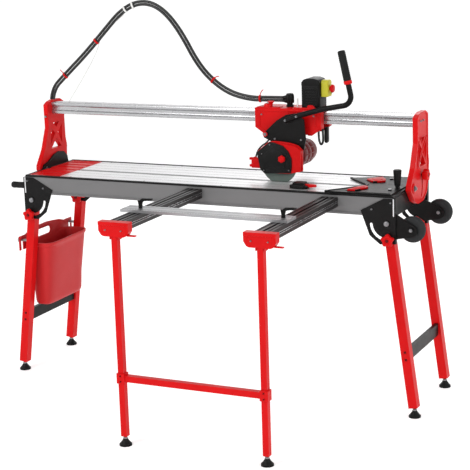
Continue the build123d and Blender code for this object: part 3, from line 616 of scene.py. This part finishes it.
# ---- carriage ------------------------------------------------------------------------------------
bm = bmesh.new()
for x in ROLLER_XS:
    lathe(bm, (x, ROLLER_Y, CARRIAGE_TOP), "z", [(17, -1), (17, 8), (14, 13), (8, 15)], 36)
block(bm, 150, 240, 199, 243, 1063, 1067, 2)
block(bm, 300, 404, 199, 206, 1063, 1069, 2)
block(bm, 147, 406, 193.4, 197, 1052, 1060, 1.4)
prism(bm, [(182, 970), (371, 970), (400, 993), (400, 999), (368, 977), (185, 977), (153, 999), (153, 993)],
      "xz", 193.6, 197, 1.0)
for x, foot in ((163, 1000), (276, 979), (389, 1000)):
    prism(bm, [(x - 3, foot), (x + 3, foot), (x + 3, 1052), (x - 3, 1052)], "xz", 194.0, 197, 0.8)
finish("carriage_ribs", bm, "red_paint", "carriage")

bm = bmesh.new()
for x in (172, 380):
    hexbolt(bm, (x, CARRIAGE_FRONT, 1040), "y", 2.6, flip=True)
for x in ROLLER_XS:
    hexbolt(bm, (x, ROLLER_Y, CARRIAGE_TOP + 15), "z", 5.0)
finish("carriage_bolts", bm, "bare_steel", "carriage")


def gland_wave(angle):
    """Radius factor of the gland nut's eight flutes."""
    return 0.9 + 0.1 * math.cos(8 * angle)


bm = bmesh.new()
lathe(bm, (264, HOSE_Y, CARRIAGE_TOP), "z", [(14, 0), (14, 6), (11, 8), (11, 14)], 40)
nut = [(15, 0), (17, 2), (17, 26), (15, 31), (9, 35), (4, 36)]
lathe(bm, (264, HOSE_Y, CARRIAGE_TOP + 14), "z", nut, 64, gland_wave)
finish("gland_nut", bm, "black_plastic", "carriage")
for name, z in (("hose_sleeve", 1097.2), ("cable_sleeve", 1085.8)):
    bm = bmesh.new()
    lathe(bm, (236, HOSE_Y, z), "x", [(5.9, 0), (6.4, 6), (6.9, 12), (7.4, 20)], 24)
    finish(name, bm, "black_plastic", "carriage")

bm = bmesh.new()
lathe(bm, (200, 221, 1064.4), "z", [(8, 0), (8, 3), (5.5, 5), (5.2, 9), (8, 15), (12.5, 20), (12.8, 22),
                                    (11, 22.5), (5, 18)], 36)
funnel = finish("carriage_lock", bm, "red_plastic", "carriage_knob")
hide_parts("carriage_knob")
bm = bmesh.new()
lathe(bm, (306, 222, CARRIAGE_TOP), "z", [(3, 0), (3, 34), (2, 36)], 16)
finish("carriage_pin", bm, "pale_plastic", "carriage")

# switch box with a crowned top, a rim and a front panel
bm = bmesh.new()
block(bm, 326, 399, 210, 280, CARRIAGE_TOP, 1150, 6, 4)
crown = [(326, 1146), (399, 1146), (399, 1160), (392, 1170), (376, 1175), (350, 1175), (334, 1170),
         (326, 1160)]
prism(bm, crown, "xz", 210, 280, 3.5, segments=3)
prism(bm, [(333, 1074), (392, 1074), (392, 1140), (333, 1140)], "xz", 207.6, 211, 1.4,
      holes=[[(338, 1079), (387, 1079), (387, 1135), (338, 1135)]])
for z in (1086, 1096, 1106, 1116, 1126):
    block(bm, 342, 383, 208.6, 211, z - 1.2, z + 1.2, 0.6)
box_obj = finish("switch_housing", bm, "black_plastic", "carriage")
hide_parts("switch_box")
bm = bmesh.new()
bezel = [(222, 1107), (262, 1107), (262, 1160), (254, 1168), (230, 1168), (222, 1160)]
prism(bm, bezel, "yz", 399, 426.5, 3.0, segments=3)
lathe(bm, (426, 238, 1137), "x", [(14, 0), (14, 2.2), (12, 3)], 36)
lathe(bm, (426, 254, 1122), "x", [(7.5, 0), (7.5, 1.8), (6.5, 2.4)], 28)
cover = finish("switch_bezel", bm, "yellow_plastic", "carriage")
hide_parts("switch_cover")
bm = bmesh.new()
lathe(bm, (429, 238, 1137), "x", [(8.4, -3), (8.4, 4), (13, 4.6), (15, 7), (15, 11), (12.5, 14.6),
                                  (7, 16)], 44)
button = finish("stop_mushroom", bm, "red_plastic", "stop_button")
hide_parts("stop_button")

# cable loop and strap under the right end of the carriage
bm = bmesh.new()
loop = nurbs([at(372, 258, 1000), at(371, 262, 965), at(372, 264, 935), at(380, 264, 922), at(389, 262, 935),
              at(390, 258, 965), at(389, 256, 1000)])
pipe(bm, loop, 4.0, sides=14)
finish("cable_loop", bm, "hose_rubber", "carriage")
bm = bmesh.new()
prism(bm, [(400, 992), (400, 940), (404, 934), (410, 934), (413, 940), (413, 992)], "xz", 244, 262, 1.2)
finish("cable_strap", bm, "black_plastic", "carriage")


# ---- saw head ------------------------------------------------------------------------------------
bm = bmesh.new()
barrel = [(34, 0), (41, 3), (41, 14), (47, 18), (48, 22), (48, 50), (46.5, 52), (48, 54), (48, 84),
          (46.5, 86), (48, 88), (48, 118), (46, 124), (43, 127), (43, 146), (39, 153), (28, 157)]
lathe(bm, (MOTOR_X, 173, MOTOR_Z), "y", barrel, 64)
for i in range(14):
    angle = 2 * math.pi * i / 14
    x = MOTOR_X + 46.2 * math.cos(angle)
    z = MOTOR_Z + 46.2 * math.sin(angle)
    lathe(bm, (x, 196, z), "y", [(1.6, 0), (2.6, 3), (2.6, 94), (1.6, 97)], 10)
# The barrel's dark red is painted shade: red paint darkened for the shade the motor sits in behind the guard.
motor = finish("motor_barrel", bm, "dark_red_paint", "head")
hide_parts("motor_housing")
bm = bmesh.new()
for i in range(12):
    angle = 2 * math.pi * i / 12
    x = MOTOR_X + 31 * math.cos(angle)
    z = MOTOR_Z + 31 * math.sin(angle)
    lathe(bm, (x, 324.5, z), "y", [(3.4, 0), (3.4, 2.6)], 12)
lathe(bm, (MOTOR_X, 322, MOTOR_Z), "y", [(17, 0), (17, 9), (15, 10.5)], 32)
finish("motor_vents", bm, "black_plastic", "head")

bm = bmesh.new()
cover_shape = [(224, 947), (174, 908), (186, 846), (203, 829), (309, 835), (313, 860), (313, 888), (301, 915),
               (280, 935), (243, 947)]
prism(bm, cover_shape, "xz", 137, 141.4, 1.6)
middle = Vector((250, 888))
for share, height in ((0.86, 134.6), (0.62, 133.2)):
    ring = [tuple(middle + (Vector(p) - middle) * share) for p in cover_shape]
    prism(bm, ring, "xz", height, 138, 1.2)
cover_obj = finish("guard_plate", bm, "black_plastic", "head")
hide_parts("guard_cover")
bm = bmesh.new()
lathe(bm, (280, 134, 889), "y", [(8, 0), (8, -4), (13, -6), (14, -9), (14, -15), (11, -18), (5, -18.6)], 60,
      lambda a: 0.92 + 0.08 * math.cos(6 * a))
finish("guard_knob", bm, "red_plastic", "head")
bm = bmesh.new()
for x, z in ((196, 903), (228, 938), (203, 842), (302, 846)):
    hexbolt(bm, (x, 137.4, z), "y", 2.2, flip=True)
finish("guard_screws", bm, "bare_steel", "head")

# water nozzles with their small tube
bm = bmesh.new()
for z in (880, 854):
    lathe(bm, (139, 157, z), "x", [(3, -1), (5, 0), (5, 14), (7, 16), (7, 26)], 20)
block(bm, 150, 182, 148, 166, 848, 882, 3, 3)
finish("nozzle_block", bm, "red_plastic", "head")
bm = bmesh.new()
feed = nurbs([at(160, 160, 884), at(162, 168, 905), at(176, 178, 925), at(198, 182, 938), at(214, 182, 960)])
pipe(bm, feed, 3.2, sides=12)
finish("nozzle_feed", bm, "hose_rubber", "head")

# a slim rounded strip along the guard's top edge
bm = bmesh.new()
ridge = [at(x, 154, z) for x, z in ((174, 908), (224, 948), (290, 944), (330, 936), (349, 919), (347, 842))]
ridge.insert(1, ridge[0].lerp(ridge[1], 0.5))
pipe(bm, nurbs(ridge), 3.4, sides=12)
finish("guard_ridge", bm, "red_plastic", "head")

# diamond rim of the blade
RIM_FRONT = 155.9 - BLADE_Y
RIM_BACK = 158.1 - BLADE_Y
bm = bmesh.new()
rim = [(64, RIM_FRONT), (70.2, RIM_FRONT), (70.2, RIM_BACK), (64, RIM_BACK)]
lathe(bm, (BLADE_X, BLADE_Y, BLADE_Z), "y", rim, 96)
finish("blade_rim", bm, "grit", "blade")

# handle collar and ribbed grip
grip_foot = Vector((529, 158, 1172))
along = (grip_foot - Vector((546, 158, 1094))).normalized()
across = along.orthogonal().normalized()
grip_axes = (across, along.cross(across), along)
bm = bmesh.new()
lathe(bm, tuple(grip_foot - along * 8), grip_axes, [(10.6, 0), (14.5, 2), (15.2, 6), (15.2, 12), (13.5, 15)],
      36)
finish("grip_collar", bm, "red_plastic", "head")
bm = bmesh.new()
profile = [(10.5, 0), (13.2, 1)]
for i in range(15):
    profile += [(14.2, 3 + i * 7), (14.2, 7 + i * 7), (13.4, 8.4 + i * 7), (13.4, 9.2 + i * 7)]
profile += [(13.8, 110), (12, 113.4), (7, 115)]
lathe(bm, tuple(grip_foot), grip_axes, profile, 36)
grip = finish("grip_foam", bm, "foam_black", "head")
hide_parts("handle_grip")


# ---- bucket --------------------------------------------------------------------------------------
def bucket_ring(bm, z, grow, count=96):
    """One level of the bin: a rounded rectangle with a shallow moulded step in its inner face."""
    share = (z - 262) / 258
    cx = -752 + 10 * share
    half_x = (36 + 22 * share) - grow
    half_y = (131 + 21.5 * share) - grow
    corner = 18 + 8 * share
    ring = []
    for i in range(count):
        angle = 2 * math.pi * (i + 0.5) / count
        ca, sa = math.cos(angle), math.sin(angle)
        power = 2 / (2 + 2.6 * (60 - corner) / 40)
        x = half_x * math.copysign(abs(ca) ** power, ca)
        y = half_y * math.copysign(abs(sa) ** (power * 0.62), sa)
        if x > half_x * 0.5:
            step = 1 / (1 + math.exp(-(y - 46) / 3.0))
            x -= 5.0 * step * min(1, max(0, (z - 285) / 60))
        ring.append(bm.verts.new(at(cx + x, 193 + y, z)))
    return ring


bm = bmesh.new()
levels = [(262, 12), (263.5, 5), (268, 1.6), (278, 0)]
levels += [(290 + 20 * i, 0) for i in range(11)] + [(505, 0), (508, -3.4), (519, -3.6), (521, -2), (521, 1.0)]
levels += [(515, 3)] + [(490 - 20 * i, 3) for i in range(11)] + [(270, 5), (266, 16)]
rings = [bucket_ring(bm, z, grow) for z, grow in levels]
for low_ring, high_ring in zip(rings, rings[1:]):
    for i in range(len(low_ring)):
        j = (i + 1) % len(low_ring)
        bm.faces.new((low_ring[i], low_ring[j], high_ring[j], high_ring[i]))
bm.faces.new(rings[0][::-1])
bm.faces.new(rings[-1])


def round_slot(y0, y1, z, r, count=8):
    """Outline of a slot with round ends."""
    points = []
    for i in range(count + 1):
        angle = math.pi / 2 + math.pi * i / count
        points.append((y0 + r * math.cos(angle), z + r * math.sin(angle)))
    for i in range(count + 1):
        angle = -math.pi / 2 + math.pi * i / count
        points.append((y1 + r * math.cos(angle), z + r * math.sin(angle)))
    return points


wall = [(-2, 494), (10, 494), (10, 536), (17, 541), (24, 536), (24, 494), (367, 494), (367, 536),
        (374, 541), (381, 536), (381, 494), (392, 494), (392, 551), (345, 551), (334, 550), (300, 560),
        (250, 566), (200, 570), (150, 569), (100, 564), (58, 556), (40, 551), (-2, 551)]
prism(bm, wall, "yz", -801, -796.4, 1.6, holes=[round_slot(123, 211, 535, 15)])
bin_obj = finish("bucket_bin", bm, "bucket_red", "bucket", smooth=45)
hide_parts("bucket")


# ---- wheels, feet, grips -------------------------------------------------------------------------
for end, y in (("front", 22.0), ("rear", 335.0)):
    bm = bmesh.new()
    lathe(bm, (WHEEL_X, y, WHEEL_Z), "y", [(30.2, -12), (36, -12.4), (42, -11.5), (45.6, -8), (46.8, -3),
                                  (46.2, -2.4), (46.2, -1.2), (46.8, -0.6), (46.8, 0.6), (46.2, 1.2),
                                  (46.2, 2.4), (46.8, 3), (45.6, 8), (42, 11.5), (36, 12.4), (30.2, 12)], 72)
    tyre = finish(f"tyre_tread_{end}", bm, "tyre_rubber", f"wheel_{end}")
    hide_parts(f"tyre_{end}")
    bm = bmesh.new()
    for s in (-1, 1):
        for i in range(6):
            angle = math.pi * i / 3
            x = WHEEL_X + 18.6 * math.cos(angle)
            z = WHEEL_Z + 18.6 * math.sin(angle)
            lathe(bm, (x, y, z), "y", [(4.2, s * 5.6), (4.2, s * 8.8), (3.2, s * 9.4)], 12)
    finish(f"hub_webs_{end}", bm, "black_plastic", f"wheel_{end}")

feet = [(f"{word}_legs", side * 820, y) for word, side in SIDES for y in (17.1, 374.1)]
feet += [("extension_frame", x, -592) for x in ARM_XS]
for i, (body, x, y) in enumerate(feet):
    bm = bmesh.new()
    lathe(bm, (x, y, 0), "z", [(20.5, 0), (22, 1.5), (22, 5.5), (20.6, 7.6), (19, 9), (14, 15), (9, 22),
                               (8.6, 25)], 44)
    for k in range(8):
        angle = 2 * math.pi * k / 8
        lathe(bm, (x + 16 * math.cos(angle), y + 16 * math.sin(angle), 7), "z", [(1.8, 0), (1.2, 3.4)], 8)
    finish(f"foot_pad_{i}", bm, "black_plastic", body)
    bm = bmesh.new()
    lathe(bm, (x, y, 24), "z", [(8.4, 0), (8.4, 5), (7.4, 6)], 6)
    thread = []
    for k in range(4):
        thread += [(5.2, 6 + k * 1.2), (4.6, 6.6 + k * 1.2)]
    lathe(bm, (x, y, 24), "z", thread, 24)
    finish(f"foot_nut_{i}", bm, "bare_steel", body)

bm = bmesh.new()
profile = [(8, 0), (12.4, -2), (12.4, -8), (10.5, -11)]
for i in range(7):
    profile += [(11.4, -14 - i * 8), (12.4, -17 - i * 8), (12.4, -19 - i * 8)]
profile += [(12.6, -74), (11, -80), (6, -83)]
lathe(bm, (-755, 34, 752), "x", profile, 36)
pull = finish("pull_grip", bm, "foam_black", "table")
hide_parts("transport_grip")


# ---- extension table details ---------------------------------------------------------------------
bm = bmesh.new()
for x in ARM_XS:
    for offset in (-30.4, 30.4):
        block(bm, x + offset - 0.8, x + offset + 0.8, -577, -1, 766, 768, 0.3)
        block(bm, x + offset - 0.8, x + offset + 0.8, -577, -1, 773, 775, 0.3)
finish("arm_lines", bm, "beam_aluminium", "table")

bm = bmesh.new()
for x in ARM_XS:
    prism(bm, [(x - 57, 776), (x + 57, 776), (x + 57, 788), (x - 57, 788)], "xz", ARM_END - 3.5, ARM_END, 1.6)
    for rib in (x - 46, x + 46):
        outline = [(rib - 3, 748), (rib + 3, 748), (rib + 3, 777), (rib - 3, 777)]
        prism(bm, outline, "xz", ARM_END - 2, ARM_END, 0.8)
finish("arm_cap_rims", bm, "red_paint", "table")
bm = bmesh.new()
for x in ARM_XS:
    for dx in (-30, 30):
        hexbolt(bm, (x + dx, CROSSBAR_FACE, 760), "y", 2.2, flip=True)
finish("arm_cap_bolts", bm, "bare_steel", "table")

bm = bmesh.new()
for x in ARM_XS:
    for z in (233, 253):
        hexbolt(bm, (x, CROSSBAR_FACE, z), "y", 2.2, flip=True)
finish("sleeve_bolts", bm, "dark_red_paint", "extension_frame")

bm = bmesh.new()
for i in range(60):
    x = -70 + i * 10
    depth = 9 if i % 5 == 0 else 5
    block(bm, x - 0.4, x + 0.4, -448, -448 + depth, 797.0, 797.3, 0)
for y in (-430, -395):
    block(bm, -76, 543, y - 0.5, y + 0.5, 797.0, 797.3, 0)
finish("bar_marks", bm, "dark_aluminium", "ruler")


# ---- table guides --------------------------------------------------------------------------------
bm = bmesh.new()
prism(bm, [(493, 6), (503, 6), (606, 134), (606, 156), (503, 264), (493, 262), (599, 152), (599, 138)], "xy",
      805.4, 808.4, 0.8)
prism(bm, [(603, 12), (736, 12), (736, 17), (603, 17)], "xy", 805.4, 808, 0.8)
for k in range(9):
    block(bm, 640 + k * 10, 640.8 + k * 10, 180, 196 if k % 5 else 204, 805.8, 806.4, 0)
finish("guide_rim", bm, "black_plastic", "guide")
bm = bmesh.new()
for jaw in ([(571, 25), (600, 25), (628, 82), (624, 96), (606, 107), (592, 84)],
            [(571, 227), (602, 192), (630, 196), (648, 212), (640, 240), (612, 281)]):
    prism(bm, jaw, "xy", 806, 813.5, 2.0)
    middle = sum((Vector(p) for p in jaw), Vector((0, 0))) / len(jaw)
    prism(bm, [tuple(middle + (Vector(p) - middle) * 0.6) for p in jaw], "xy", 812, 815.5, 1.4)
finish("guide_jaws", bm, "red_plastic", "guide")
bm = bmesh.new()
for x, y in ((652, 268), (712, 76)):
    lathe(bm, (x, y, 806), "z", [(7, 0), (7, 4), (6, 5.4), (3, 5.4), (2.6, 3)], 28)
finish("guide_screws", bm, "bare_steel", "guide")
bm = bmesh.new()
post_profile = [(8.2, 0), (8.2, 6), (11, 8), (11.6, 14), (13.6, 40), (15, 58), (15, 62), (12, 64.6)]
lathe(bm, (722, 129, 806.3), "z", post_profile, 72, lambda a: 0.965 + 0.035 * math.cos(12 * a))
post = finish("guide_post", bm, "black_plastic", "guide_knob")
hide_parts("guide_knob")
bm = bmesh.new()
prism(bm, [(348, 30), (404, 30), (404, 86), (348, 86)], "xy", 801.3, 815, 3.0, segments=3)
prism(bm, [(356, 38), (398, 38), (398, 78), (356, 78)], "xy", 812, 822, 3.0, segments=3)
prism(bm, [(402, 36), (414, 36), (414, 74), (402, 74)], "xy", 801.3, 812, 2.0)
stop_obj = finish("stop_body", bm, "black_plastic", "stop")
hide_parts("stop_block")
bm = bmesh.new()
prism(bm, [(398, 50), (424, 40), (444, 56), (424, 68), (398, 62)], "xy", 806, 816, 2.0)
finish("stop_pointer", bm, "red_plastic", "stop")


# ---- rivets of the leg braces --------------------------------------------------------------------
for word, side in SIDES:
    bm = bmesh.new()
    for y in (0.6, 357.6):
        for z in (214, 241):
            x = side * (LEG_PIVOT_X + (LEG_PIVOT_Z - z) * math.tan(LEG_SPLAY))
            lathe(bm, (x, y, z), "y", [(4.6, 0), (4.6, -1.6), (3.4, -3.0)], 20)
    finish(f"brace_rivets_{word}", bm, "dark_red_paint", f"{word}_legs")


# ---- floor and light -----------------------------------------------------------------------------
bm = bmesh.new()
AROUND = 64
turns = [math.tau * i / AROUND for i in range(AROUND)]
sweep = [(9, 0), (10.5, 0.3), (11.6, 1.1), (12.2, 2.4), (12.4, 4), (12.4, 8)]
rings = [[bm.verts.new((r * math.cos(t), r * math.sin(t), z)) for t in turns] for r, z in sweep]
bm.faces.new(rings[0])
for inner, outer in zip(rings, rings[1:]):
    for i in range(AROUND):
        j = (i + 1) % AROUND
        bm.faces.new((inner[i], outer[i], outer[j], inner[j]))
floor_mesh = bpy.data.meshes.new("floor")
bm.to_mesh(floor_mesh)
bm.free()
for polygon in floor_mesh.polygons:
    polygon.use_smooth = True
floor = bpy.data.objects.new("floor", floor_mesh)
bpy.context.collection.objects.link(floor)
paper = material("studio_paper", (0.88, 0.88, 0.88), rough=0.9, spread=0.002, bump=0.0, shine=0.0)
paper_shader = paper.node_tree.nodes["Principled BSDF"]
paper_shader.inputs["Emission Color"].default_value = (1, 1, 1, 1)
paper_shader.inputs["Emission Strength"].default_value = 0.36
floor_mesh.materials.append(paper)

world = bpy.data.worlds.new("studio")
bpy.context.scene.world = world
world.use_nodes = True
background = world.node_tree.nodes["Background"]
direction = world.node_tree.nodes.new("ShaderNodeTexCoord")
height = world.node_tree.nodes.new("ShaderNodeSeparateXYZ")
shade = world.node_tree.nodes.new("ShaderNodeValToRGB")
shade.color_ramp.elements[0].position = 0.02
shade.color_ramp.elements[0].color = (0.42, 0.42, 0.42, 1)
shade.color_ramp.elements[1].position = 0.7
shade.color_ramp.elements[1].color = (1, 1, 1, 1)
world.node_tree.links.new(direction.outputs["Generated"], height.inputs["Vector"])
world.node_tree.links.new(height.outputs["Z"], shade.inputs["Fac"])
world.node_tree.links.new(shade.outputs["Color"], background.inputs["Color"])
background.inputs["Strength"].default_value = 0.55
bpy.context.scene.view_settings.view_transform = "Standard"


def area_light(name, place, target, size, power):
    """A square lamp aimed at a point, in metres and watts."""
    data = bpy.data.lights.new(name, "AREA")
    data.size = size
    data.energy = power
    lamp = bpy.data.objects.new(name, data)
    lamp.location = place
    lamp.rotation_euler = (Vector(target) - Vector(place)).to_track_quat("-Z", "Y").to_euler()
    bpy.context.collection.objects.link(lamp)


area_light("key", (-1.4, -3.4, 3.4), (0, 0, 0.7), 1.6, 64)
area_light("side", (3.6, -1.2, 2.4), (0, 0, 0.7), 1.4, 26)
area_light("back", (-0.5, 3.2, 3.2), (0, 0, 0.9), 2.0, 40)
